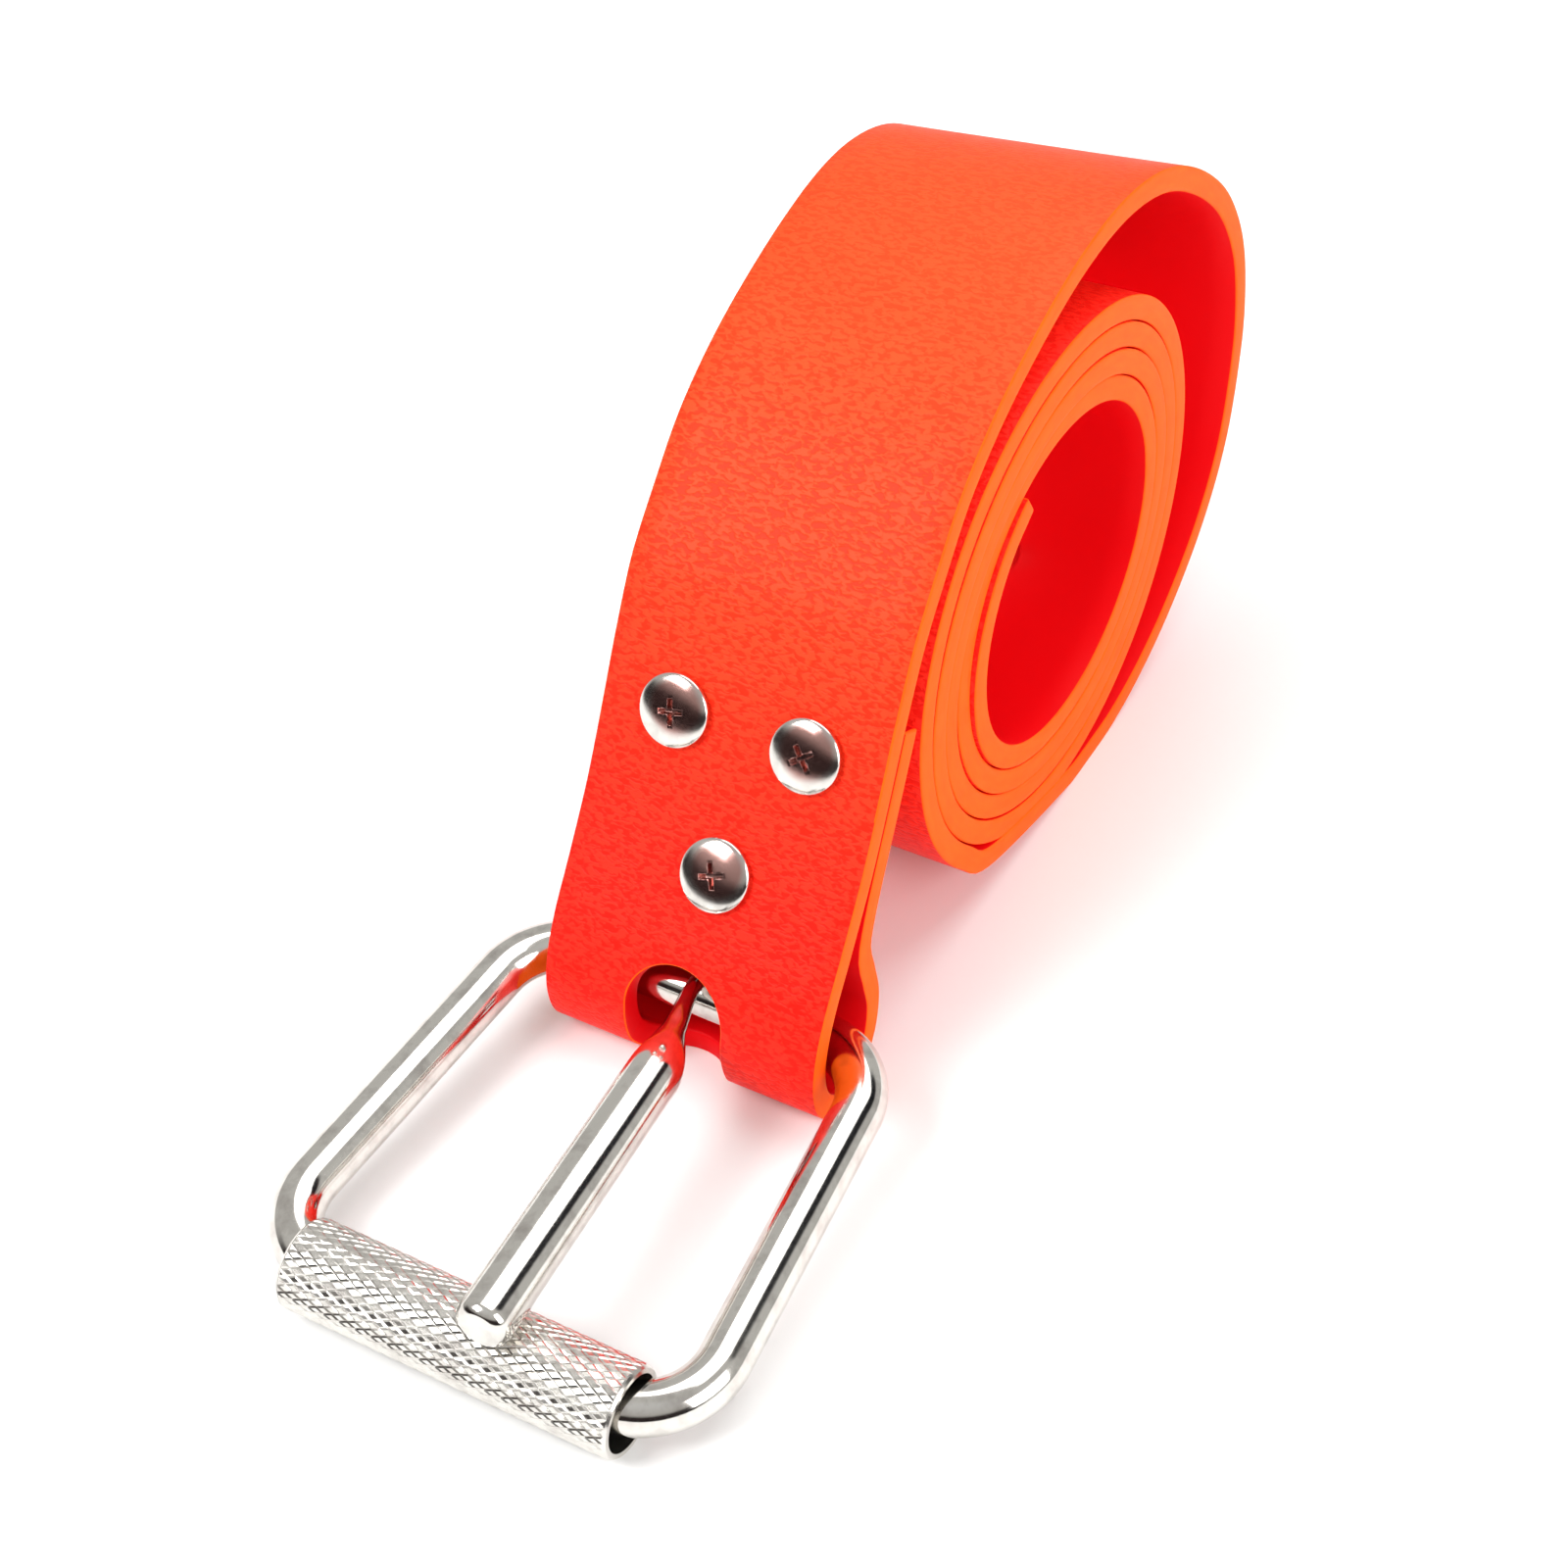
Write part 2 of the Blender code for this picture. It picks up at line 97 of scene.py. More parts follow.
def applyModifier(piece, kind, **settings):
    modifier = piece.modifiers.new(kind.lower(), kind)
    for key, value in settings.items():
        setattr(modifier, key, value)
    makeActive(piece)
    bpy.ops.object.modifier_apply(modifier=modifier.name)


def bakePlace(piece, matrix=None):
    # moves the object's place into its mesh, so that the object itself sits at the origin
    if matrix is not None:
        piece.matrix_world = matrix
        bpy.context.view_layer.update()
    makeActive(piece)
    bpy.ops.object.transform_apply(location=True, rotation=True, scale=True)


def smoothShade(piece, degrees=40):
    makeActive(piece)
    bpy.ops.object.shade_smooth_by_angle(angle=math.radians(degrees))


# ---- shader helpers

class Number:
    # a value socket that takes part in ordinary arithmetic
    def __init__(self, look, socket):
        self.look = look
        self.socket = socket

    def combine(self, operation, first, second=None):
        values = [first] if second is None else [first, second]
        made = self.look.tree.nodes.new("ShaderNodeMath")
        made.operation = operation
        for place, value in zip(made.inputs, values):
            self.look.fill(place, value)
        return Number(self.look, made.outputs[0])

    def __add__(self, other):
        return self.combine("ADD", self, other)

    def __sub__(self, other):
        return self.combine("SUBTRACT", self, other)

    def __rsub__(self, other):
        return self.combine("SUBTRACT", other, self)

    def __mul__(self, other):
        return self.combine("MULTIPLY", self, other)

    def __abs__(self):
        return self.combine("ABSOLUTE", self)

    __radd__ = __add__
    __rmul__ = __mul__


class Look:
    # a Principled material, or any other node tree, with one method that adds nodes
    def __init__(self, name, tree=None):
        if tree is None:
            self.material = bpy.data.materials.new(name)
            self.material.use_nodes = True
            tree = self.material.node_tree
            self.shader = tree.nodes["Principled BSDF"]
        self.tree = tree

    def fill(self, place, value):
        if isinstance(value, Number):
            value = value.socket
        if isinstance(value, bpy.types.NodeSocket):
            self.tree.links.new(value, place)
        else:
            place.default_value = value

    def add(self, kind, settings=None, out=0, **inputs):
        made = self.tree.nodes.new("ShaderNode" + kind)
        for key, value in (settings or {}).items():
            if key == "stops":
                for stop, (position, colour) in zip(self.rampStops(made, len(value)), value):
                    stop.position = position
                    stop.color = colour
            else:
                setattr(made, key, value)
        for key, value in inputs.items():
            self.fill(made.inputs[int(key[1:]) if key[1:].isdigit() else key.replace("_", " ")], value)
        return Number(self, made.outputs[out])

    def rampStops(self, ramp, count):
        stops = ramp.color_ramp.elements
        while len(stops) < count:
            stops.new(1.0)
        return stops

    def mixColour(self, factor, first, second):
        return self.add("Mix", {"data_type": "RGBA"}, out=2, i0=factor, i6=first, i7=second)

    def surface(self, **inputs):
        for key, value in inputs.items():
            self.fill(self.shader.inputs[key.replace("_", " ")], value)
        return self.material


# ---- strap: cut and punched flat, then every point is carried onto the rolled path

strapShape = {
    "width": 50 * mm, "thickness": 4.2 * mm, "edgeSoftness": 0.55 * mm,
    "pitch": 4.5 * mm, "rollCentre": (41.6 * mm, 50.7 * mm), "startRadius": 31.4 * mm,
    "sag": 2.2 * mm, "tipAngle": 118, "coilEnd": 1690, "coilStep": 15,
    "plySpacing": ((-8, 4.6), (0, 5.6), (6, 7.4)), "plyPastScrews": 7 * mm,
    "rowStep": 2.4 * mm, "foldRowStep": 0.8 * mm, "columns": 10, "sideDrift": 0.35 * mm}
# centre line of the foot, the loose outer turn and the tail, then the fold, as (y, z) in millimetres
strapRoute = (
    (48, 2.1), (61, 2.1), (74.4, 5.0), (88, 11.4), (100.6, 21.5), (109.2, 34.2), (113.1, 50),
    (113.4, 62), (110.6, 75), (103.5, 87.3), (93.8, 97), (81.4, 105.4), (69.5, 109.9),
    (57, 111.4), (43.4, 109.9), (30, 105.8), (17, 100), (6.2, 92.7), (-1.9, 84.1), (-9.3, 75.1),
    (-15.6, 64.6), (-21.3, 53.9), (-27.6, 42.6), (-34.6, 32.2), (-40.4, 24.1))
strapFold = ((-43.7, 17.6), (-44.9, 11.5), (-43.6, 5.7), (-39.4, 2.1), (-33.4, 2.7), (-28.7, 7.6),
             (-27.0, 14.2), (-28.0, 20.7))
leanShape = {
    "inner": 5 * mm, "innerReach": 45 * mm, "outer": 11 * mm, "outerReach": 72 * mm,
    "clearOfFloor": 30 * mm, "top": 3 * mm, "topHeight": 75 * mm, "topReach": 36 * mm,
    "outerTurn": 480 * mm}
punchShape = {
    "slotWidth": 17.6 * mm, "slotX": -1 * mm, "slotTop": 22.9 * mm, "slotPastFold": 1 * mm,
    "holeRadius": 4.8 * mm, "holes": 7, "firstHole": 83 * mm, "holePitch": 26 * mm, "screwHole": 3.5 * mm}
screwPlaces = {"upperHeight": 56.6 * mm, "lowerHeight": 36.4 * mm, "spread": 11.7 * mm, "lowerX": 1.2 * mm}


def coilPoint(angle):
    turn = math.radians(angle)
    radius = strapShape["startRadius"] + strapShape["pitch"] * (angle - 180) / 360
    radius -= strapShape["sag"] * math.sin(turn) ** 2
    y, z = strapShape["rollCentre"]
    return (y + radius * math.cos(turn), z + radius * math.sin(turn))


def smoothRoute(knots, steps=24):
    knots = np.array(knots, float)
    ends = np.vstack([2 * knots[0] - knots[1], knots, 2 * knots[-1] - knots[-2]])
    t = np.arange(steps)[:, None] / steps
    runs = []
    for p0, p1, p2, p3 in zip(ends, ends[1:], ends[2:], ends[3:]):
        runs.append(0.5 * (2 * p1 + (p2 - p0) * t + (2 * p0 - 5 * p1 + 4 * p2 - p3) * t ** 2
                           + (3 * p1 - 3 * p2 + p3 - p0) * t ** 3))
    return np.vstack(runs + [knots[-1:]])


class Route:
    # the strap's centre line in the YZ plane, measured along its length
    def __init__(self, knots):
        self.points = smoothRoute(knots)
        self.points[:, 1] = np.maximum(self.points[:, 1], strapShape["thickness"] / 2)
        steps = np.linalg.norm(np.diff(self.points, axis=0), axis=1)
        self.stations = np.concatenate([[0], np.cumsum(steps)])
        self.length = self.stations[-1]
        along = np.gradient(self.points, self.stations, axis=0)
        along /= np.linalg.norm(along, axis=1)[:, None]
        self.normals = np.column_stack([along[:, 1], -along[:, 0]])

    def read(self, table, station):
        return np.column_stack([np.interp(station, self.stations, table[:, i]) for i in (0, 1)])

    def at(self, station):
        normal = self.read(self.normals, station)
        return self.read(self.points, station), normal / np.linalg.norm(normal, axis=1)[:, None]

    def atHeight(self, height, start, end):
        inside = (self.stations >= start) & (self.stations <= end)
        return float(self.stations[inside][np.argmin(abs(self.points[inside, 1] - height))])

    def nearest(self, origin, direction, start):
        inside = self.stations >= start
        away = self.points[inside] - np.array(origin)
        across = abs(away[:, 0] * direction[1] - away[:, 1] * direction[0])
        return float(self.stations[inside][np.argmin(across)])


def strapLine():
    knots = [coilPoint(a) for a in range(strapShape["tipAngle"], strapShape["coilEnd"], strapShape["coilStep"])]
    knots += [(y * mm, z * mm) for y, z in strapRoute + strapFold]
    tail = Route(knots[:-len(strapFold) + 2])
    start = tail.length - 110 * mm
    upper = tail.atHeight(screwPlaces["upperHeight"], start, tail.length)
    lower = tail.atHeight(screwPlaces["lowerHeight"], start, tail.length)
    below, spacing = np.array(strapShape["plySpacing"]).T * mm
    for station in np.linspace(lower + below[-1], upper - strapShape["plyPastScrews"], 7):
        point, normal = tail.at([station])
        knots.append(tuple(point[0] - normal[0] * np.interp(station - lower, below, spacing)))
    return Route(knots), upper, lower


def share(distance, reach):
    return np.clip(distance / reach, 0, 1)


def edgeLean(route, station, points):
    behind = points[:, 0] - strapShape["rollCentre"][0]
    inner = leanShape["inner"] * share(behind, leanShape["innerReach"]) ** 2
    back = share(behind, leanShape["outerReach"])
    clear = share(points[:, 1] - strapShape["thickness"], leanShape["clearOfFloor"])
    top = share(points[:, 1] - leanShape["topHeight"], leanShape["topReach"])
    outer = leanShape["outer"] * clear * back ** 2 + leanShape["top"] * top * (1 - back)
    return np.where(station < route.length - leanShape["outerTurn"], inner, outer)


def screwStations(route, upper, lower):
    places = []
    spread = screwPlaces["spread"]
    for x, station in ((-spread, upper), (spread, upper), (screwPlaces["lowerX"], lower)):
        point, normal = route.at([station])
        places.append((x, station, route.nearest(point[0], normal[0], station + 62 * mm)))
    return places


def punch(x, start, end, radius):
    # a round punch, drawn out into a long oval where its end lies further along
    deselectAll()
    bpy.ops.mesh.primitive_cylinder_add(vertices=64, radius=radius, depth=4 * strapShape["thickness"],
                                        location=(x, start, 0))
    tool = takeObject("punch")
    if end > start:
        bpy.ops.object.transform_apply(location=True)
        pickParts(tool, "vertices", lambda v: v.co.y > start + 0.01 * mm)
        bpy.ops.transform.translate(value=(0, end - start, 0))
        objectMode()
    return tool


def strapPunches(route, upper, lower):
    slotTop = route.atHeight(punchShape["slotTop"], upper, upper + 62 * mm)
    foldBottom = route.atHeight(strapShape["thickness"] / 2, upper, upper + 93 * mm)
    radius = punchShape["slotWidth"] / 2
    slotEnd = foldBottom + punchShape["slotPastFold"]
    tools = [punch(punchShape["slotX"], slotTop + radius, slotEnd - radius, radius)]
    for x, station, backStation in screwStations(route, upper, lower):
        tools += [punch(x, place, place, punchShape["screwHole"]) for place in (station, backStation)]
    for i in range(punchShape["holes"]):
        place = punchShape["firstHole"] + i * punchShape["holePitch"]
        tools.append(punch(0, place, place, punchShape["holeRadius"]))
    return tools


def cutFlatStrap(route, tools):
    deselectAll()
    bpy.ops.mesh.primitive_cube_add(size=1, location=(0, route.length / 2, 0))
    strap = takeObject("strapRubber")
    strap.scale = (strapShape["width"], route.length, strapShape["thickness"])
    bakePlace(strap)
    makeActive(tools[0])
    for tool in tools:
        tool.select_set(True)
    bpy.ops.object.join()
    joined = bpy.context.object
    applyModifier(strap, "BOOLEAN", operation="DIFFERENCE", solver="EXACT", object=joined)
    bpy.data.objects.remove(joined)
    makeActive(strap)
    editMesh("EDGE")
    bpy.ops.mesh.edges_select_sharp(sharpness=math.radians(60))
    bpy.ops.mesh.bevel(offset=strapShape["edgeSoftness"], segments=3, profile=0.5, affect="EDGES")
    objectMode()
    return strap


def crossLines(route, upper):
    foldStart = route.atHeight(30 * mm, upper, upper + 62 * mm)
    rows = [strapShape["rowStep"]]
    while rows[-1] < route.length - strapShape["rowStep"]:
        inFold = foldStart < rows[-1] < foldStart + 62 * mm
        rows.append(rows[-1] + strapShape["foldRowStep" if inFold else "rowStep"])
    return rows[:-1]


def sliceStrap(strap, rows):
    # lines across and along the flat strap give the points that the roll bends
    makeActive(strap)
    editMesh("VERT")
    cuts = [((0, row, 0), (0, 1, 0)) for row in rows]
    columns = strapShape["columns"]
    for i in range(1, columns):
        cuts.append(((strapShape["width"] * (i / columns - 0.5), 0, 0), (1, 0, 0)))
    for place, direction in cuts:
        bpy.ops.mesh.select_all(action="SELECT")
        bpy.ops.mesh.bisect(plane_co=place, plane_no=direction)
    objectMode()


def paintStrapSides(strap):
    # 0 the grained face, 1 the cut edges, 2 the smooth back and the walls of the punched holes
    inside = strapShape["width"] / 2 - 1.2 * mm
    for polygon in strap.data.polygons:
        up = polygon.normal.z
        wall = abs(polygon.center.x) < inside and up < 0.3 and 1.2 * mm < polygon.center.y
        polygon.material_index = 0 if up > 0.85 else 2 if up < -0.85 or wall else 1


def rollUp(strap, route):
    count = len(strap.data.vertices)
    flat = np.zeros(count * 3)
    strap.data.vertices.foreach_get("co", flat)
    place = strap.data.attributes.new("flatPlace", "FLOAT_VECTOR", "POINT")
    place.data.foreach_set("vector", flat)
    across, station, outward = flat.reshape(-1, 3).T
    points, normals = route.at(station)
    lean = edgeLean(route, station, points)
    lean = lean * (strapShape["width"] / 2 - across) / strapShape["width"]
    side = points + normals * (outward - lean)[:, None]
    inRoll = share(route.length - leanShape["outerTurn"] - station, 100 * mm)
    drift = strapShape["sideDrift"] * inRoll * (np.sin(station * 21) + 0.6 * np.sin(station * 47 + 1))
    rolled = np.column_stack([across + drift, side])
    strap.data.vertices.foreach_set("co", rolled.ravel())
    makeActive(strap)
    editMesh()
    closeAndTurnOut()
    objectMode()


def makeStrap(route, upper, lower):
    strap = cutFlatStrap(route, strapPunches(route, upper, lower))
    sliceStrap(strap, crossLines(route, upper))
    paintStrapSides(strap)
    rollUp(strap, route)
    smoothShade(strap, 35)
    for look in (strapFaceLook(route.length), strapCutLook(), strapBackLook()):
        strap.data.materials.append(look)
    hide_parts("strap")
    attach(strap, "belt")
    print("strap rolled:", len(strap.data.polygons), "faces")


# low and high are painted light: the face runs from the low reds up to the orange high shades as a painted
# glare over the top of the loop
rubberShades = {
    "low": (1.0, 0.012, 0.006, 1), "lowWarm": (1.0, 0.024, 0.010, 1), "ridge": (1.0, 0.042, 0.022, 1),
    # ridge is a painted highlight on the grain's ridges and crease a painted shade in its creases
    "high": (1.0, 0.066, 0.010, 1), "highWarm": (1.0, 0.098, 0.020, 1), "crease": (0.78, 0.006, 0.003, 1),
    # back is the smooth back's red, painted darker and deeper as painted shade inside the roll and between the
    # plies
    "cut": (1.0, 0.085, 0.003, 1), "cutWarm": (1.0, 0.125, 0.006, 1), "back": (0.78, 0.002, 0.005, 1)}
rubberShine = {"face": 0.10, "cut": 0.05, "back": 0.06}
grainShape = {"cellsPerMetre": 1350, "stretch": 0.5, "depth": 0.12 * mm, "strength": 0.5,
              "redBelow": 25 * mm, "orangeAbove": 95 * mm, "smoothTo": 112 * mm, "coveredUpTo": 500 * mm,
              "edgeOfCover": 20 * mm, "creaseFrom": 0.40, "creaseTo": 0.58, "ridgeHighlightShare": 0.35,
              "creaseShadeShare": 0.6, "topShare": 0.5, "patchesPerMetre": 26.0}


def strapPlace(look, scaleAcross=1.0, scaleAlong=1.0):
    flat = look.add("Attribute", {"attribute_type": "GEOMETRY", "attribute_name": "flatPlace"}, out=1)
    return look.add("Mapping", Vector=flat, Scale=(scaleAcross, scaleAlong, 1))


def strapFaceLook(length):
    look = Look("grainedOrangeRubber")
    place = strapPlace(look, grainShape["stretch"])
    wrinkles = look.add("TexNoise", Vector=place, Scale=grainShape["cellsPerMetre"], Detail=1.2,
                        Roughness=0.5, Distortion=0.6)
    patches = look.add("TexNoise", Vector=place, Scale=grainShape["patchesPerMetre"], Detail=2.0)
    ridges = look.add("MapRange", {"interpolation_type": "SMOOTHSTEP"}, Value=wrinkles,
                     i1=grainShape["creaseFrom"], i2=grainShape["creaseTo"])
    height = look.add("SeparateXYZ", out=2, Vector=look.add("TexCoord", out=3))
    # the grain is weaker over the top of the loop, and the colour runs from red low down to orange there: the
    # orange is a painted glare of the lamps over the top of the loop
    grainWeakerOnTop = look.add("MapRange", Value=height, i1=grainShape["orangeAbove"], i2=grainShape["smoothTo"],
                    i3=1.0, i4=grainShape["topShare"])
    paintedGlare = look.add("MapRange", {"interpolation_type": "SMOOTHSTEP"}, Value=height,
                     i1=grainShape["redBelow"], i2=grainShape["orangeAbove"])
    # only the outermost turn takes the painted orange glare; the inner turns, in its shade, keep the red
    station = look.add("SeparateXYZ", out=1, Vector=strapPlace(look))
    covered = length - grainShape["coveredUpTo"]
    paintedGlare = paintedGlare * look.add("MapRange", Value=station,
                             i1=covered, i2=covered + grainShape["edgeOfCover"])
    # painted glare: orange over the top of the outer turn, red lower down
    colour = look.mixColour(paintedGlare, look.mixColour(patches, rubberShades["low"], rubberShades["lowWarm"]),
                            look.mixColour(patches, rubberShades["high"], rubberShades["highWarm"]))
    # painted highlight on the grain's ridges and painted shade in its creases, weaker over the top of the loop
    colour = look.mixColour(ridges * grainWeakerOnTop * grainShape["ridgeHighlightShare"], colour, rubberShades["ridge"])
    colour = look.mixColour((1 - ridges) * grainWeakerOnTop * grainShape["creaseShadeShare"], colour, rubberShades["crease"])
    bump = look.add("Bump", Height=ridges * grainWeakerOnTop, Strength=grainShape["strength"], Distance=grainShape["depth"])
    look.shader.inputs["Specular IOR Level"].default_value = rubberShine["face"]
    return look.surface(Base_Color=colour, Roughness=0.38 + patches * 0.14, Normal=bump)


def strapCutLook():
    look = Look("cutOrangeRubber")
    place = strapPlace(look, 1.0, 0.25)
    streaks = look.add("TexNoise", Vector=place, Scale=900.0, Detail=2.0)
    colour = look.mixColour(streaks, rubberShades["cut"], rubberShades["cutWarm"])
    bump = look.add("Bump", Height=streaks, Strength=0.2, Distance=0.04 * mm)
    look.shader.inputs["Specular IOR Level"].default_value = rubberShine["cut"]
    return look.surface(Base_Color=colour, Roughness=0.5, Normal=bump)


def strapBackLook():
    look = Look("smoothRedRubber")
    cloud = look.add("TexNoise", Vector=strapPlace(look), Scale=160.0, Detail=2.0)
    bump = look.add("Bump", Height=cloud, Strength=0.2, Distance=0.06 * mm)
    look.shader.inputs["Specular IOR Level"].default_value = rubberShine["back"]
    # the back and the hole walls are painted a darker, deeper red than the face: painted shade over the smooth
    # rubber
    return look.surface(Base_Color=rubberShades["back"], Roughness=0.4 + cloud * 0.1, Normal=bump)


# ---- steel of the buckle and the binding screws

steelShades = {"bright": (0.71, 0.69, 0.65, 1), "dull": (0.52, 0.49, 0.46, 1), "domeReflectionShade": (0.52, 0.30, 0.27, 1)}


def steelLook(name, roughness, stretch=(1, 1, 1), pits=0.5, darkAround=None):
    look = Look(name)
    solid = look.add("TexCoord", out=3)
    ripple = look.add("TexNoise", Vector=look.add("Mapping", Vector=solid, Scale=stretch), Scale=240.0,
                      Detail=3.0, Roughness=0.6)
    speck = look.add("TexNoise", Vector=solid, Scale=1500.0, Detail=2.0)
    bump = look.add("Bump", Height=ripple + speck * 0.25, Strength=0.16 * pits, Distance=0.05 * mm)
    colour = look.mixColour(look.add("MapRange", Value=ripple, i1=0.45, i2=0.75), steelShades["bright"],
                            steelShades["dull"])
    # painted reflection: the steel is painted darker and red-brown round a given point
    if darkAround is not None:
        near = look.add("VectorMath", {"operation": "DISTANCE"}, out=1, i0=solid, i1=darkAround)
        rim = look.add("MapRange", {"interpolation_type": "SMOOTHSTEP"}, Value=near + ripple * 1.2 * mm,
                       i1=screwShape["reflectionShadeWithin"], i2=screwShape["brightBeyond"])
        colour = look.mixColour(rim, steelShades["domeReflectionShade"], colour)
    return look.surface(Base_Color=colour, Metallic=1.0, Roughness=roughness + speck * 0.08, Normal=bump)


# ---- buckle frame: one ring of the wire, drawn and spun round its four corners

frameShape = {
    "wire": 4.2 * mm, "sides": 40, "backBar": (-36.8 * mm, 12.9 * mm), "frontBar": (-108.5 * mm, 7.4 * mm),
    "frontHalf": 36.4 * mm, "backHalf": 33.6 * mm, "corner": 12.5 * mm, "cornerSteps": 16}


def framePlane():
    # the frame is drawn flat with its front bar on the X axis, then laid from the roller to the fold
    front = Vector((0, *frameShape["frontBar"]))
    back = Vector((0, *frameShape["backBar"]))
    tilt = math.atan2(back.z - front.z, back.y - front.y)
    return Matrix.Translation(front) @ Matrix.Rotation(tilt, 4, "X"), (back - front).length


def spinRing(angle, centre):
    bpy.ops.mesh.spin(steps=frameShape["cornerSteps"], angle=angle, center=centre, axis=(0, 0, 1))


def makeFrame():
    lay, length = framePlane()
    shape = frameShape
    r = shape["corner"]
    slope = math.atan2(shape["frontHalf"] - shape["backHalf"], length)
    deselectAll()
    bpy.ops.mesh.primitive_circle_add(vertices=shape["sides"], radius=shape["wire"],
                                      rotation=(0, math.pi / 2, 0))
    wire = takeObject("frameWire")
    bpy.ops.object.transform_apply(rotation=True)
    editMesh("VERT", "ALL")
    frontReach = shape["frontHalf"] - r / math.cos(slope) + r * math.tan(slope)
    backReach = shape["backHalf"] - r / math.cos(slope) - r * math.tan(slope)
    # right half, from the middle of the front bar round to the middle of the back bar
    extrudeBy((frontReach, 0, 0))
    spinRing(spinSign * (math.pi / 2 + slope), (frontReach, r, 0))
    away = Vector((backReach - frontReach, length - 2 * r, 0))
    extrudeBy(away)
    spinRing(spinSign * (math.pi / 2 - slope), (backReach, length - r, 0))
    extrudeBy((-backReach, 0, 0))
    objectMode()
    applyModifier(wire, "MIRROR", use_axis=(True, False, False), merge_threshold=0.01 * mm)
    makeActive(wire)
    editMesh()
    closeAndTurnOut()
    objectMode()
    bakePlace(wire, lay)
    smoothShade(wire, 60)
    wire.data.materials.append(steelLook("polishedFrameSteel", 0.07, pits=0.5))
    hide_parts("buckle_frame")
    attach(wire, "frame")
    print("frame bent")


spinSign = -1  # mesh.spin turns against the right-hand rule about its axis


# ---- roller: a diamond knurl pressed round a short tube

rollerShape = {
    "radius": 7.4 * mm, "bore": 6.2 * mm, "length": 58.4 * mm, "around": 34, "along": 20,
    "grooveDepth": 0.14 * mm, "grooveHalfWidth": 0.26 * mm, "chamfer": 0.4 * mm, "endDrop": 0.1 * mm}


def makeRoller():
    shape = rollerShape
    half = shape["length"] / 2 - shape["chamfer"]
    low = shape["radius"] - shape["grooveDepth"]
    step = 2 * half / shape["along"]
    deselectAll()
    bpy.ops.mesh.primitive_circle_add(vertices=shape["around"], radius=low, location=(-half, 0, 0),
                                      rotation=(0, math.pi / 2, 0))
    roller = takeObject("rollerSleeve")
    bpy.ops.object.transform_apply(location=True, rotation=True)
    editMesh("VERT", "ALL")
    for _ in range(shape["along"]):
        extrudeBy((step, 0, 0))
    bpy.ops.mesh.select_all(action="SELECT")
    bpy.ops.mesh.normals_make_consistent(inside=False)
    bpy.ops.mesh.select_mode(type="FACE")
    bpy.ops.mesh.select_all(action="SELECT")
    bpy.ops.mesh.poke()
    objectMode()
    points = roller.data.vertices
    degree = np.bincount([i for e in roller.data.edges for i in e.vertices], minlength=len(points))
    pokedAt = {v.index for v in points if degree[v.index] == 4 and abs(abs(v.co.x) - half) > 0.1 * step}
    pickParts(roller, "edges", lambda e: not (set(e.vertices) & pokedAt)
              and not all(abs(abs(points[i].co.x) - half) < 0.01 * mm for i in e.vertices))
    bpy.ops.mesh.dissolve_edges(use_verts=False)
    bpy.ops.mesh.select_mode(type="FACE")
    bpy.ops.mesh.select_all(action="SELECT")
    bpy.ops.mesh.inset(thickness=shape["grooveHalfWidth"], depth=shape["grooveDepth"], use_individual=True)
    for end in (-1, 1):
        pickParts(roller, "edges", lambda e: all(
            abs(points[i].co.x - end * half) < 0.01 * mm
            and Vector((0, points[i].co.y, points[i].co.z)).length > low - 0.05 * mm for i in e.vertices))
        shoulder, face = shape["radius"] - shape["endDrop"], shape["radius"] - shape["chamfer"]
        extrudeBy((0, 0, 0))
        resizeAbout((1,) + (shoulder / low,) * 2, (end * half, 0, 0))
        extrudeBy((end * shape["chamfer"], 0, 0))
        resizeAbout((1,) + (face / shoulder,) * 2, (0, 0, 0))
        extrudeBy((0, 0, 0))
        resizeAbout((1,) + (shape["bore"] / face,) * 2, (0, 0, 0))
        objectMode()
        points = roller.data.vertices
    rim = shape["length"] / 2
    pickParts(roller, "edges", lambda e: all(abs(abs(points[i].co.x) - rim) < 0.01 * mm
              and Vector((0, points[i].co.y, points[i].co.z)).length < shape["bore"] + 0.05 * mm
              for i in e.vertices))
    bpy.ops.mesh.bridge_edge_loops()
    closeAndTurnOut(0.005 * mm)
    objectMode()
    bakePlace(roller, Matrix.Translation((0, *frameShape["frontBar"])))
    smoothShade(roller, 22)
    roller.data.materials.append(steelLook("knurledSteel", 0.17, pits=0.5))
    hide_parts("roller")
    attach(roller, "roller")
    print("roller knurled:", len(roller.data.polygons), "faces")


# ---- tongue: a round rod drawn down to a thin neck that hooks over the back bar

tongueShape = {
    "startShare": 0.9, "radius": 4.5 * mm, "sides": 48, "hookTurn": 5.85 * mm,
    "hookWire": 1.3 * mm, "hookAngle": 165,
    "tip": Vector((7.5, -113.3, 19.35)) * mm, "shoulder": Vector((4.3, -60.5, 19.1)) * mm,
    # distance from the tip in millimetres, and the share of the full radius there
    "tipProfile": ((0.0, 0.76), (0.25, 0.84), (1.0, 0.965), (1.5, 0.99), (2.4, 1.0), (26, 1.0)),
    # the neck bends from the rod's line to the middle of the bar: place and share of the radius
    "neck": ((4.3, -60.5, 19.1, 0.995), (4.14, -59.0, 19.1, 0.965), (3.92, -57.4, 19.08, 0.90),
             (3.64, -55.8, 19.03, 0.81), (3.3, -54.3, 18.98, 0.70), (2.88, -52.8, 18.93, 0.60),
             (2.4, -51.2, 18.88, 0.48), (1.9, -49.2, 18.82, 0.42), (1.35, -47.1, 18.78, 0.37),
             (0.75, -44.8, 18.75, 0.325), (0.25, -42.4, 18.75, 0.295))}


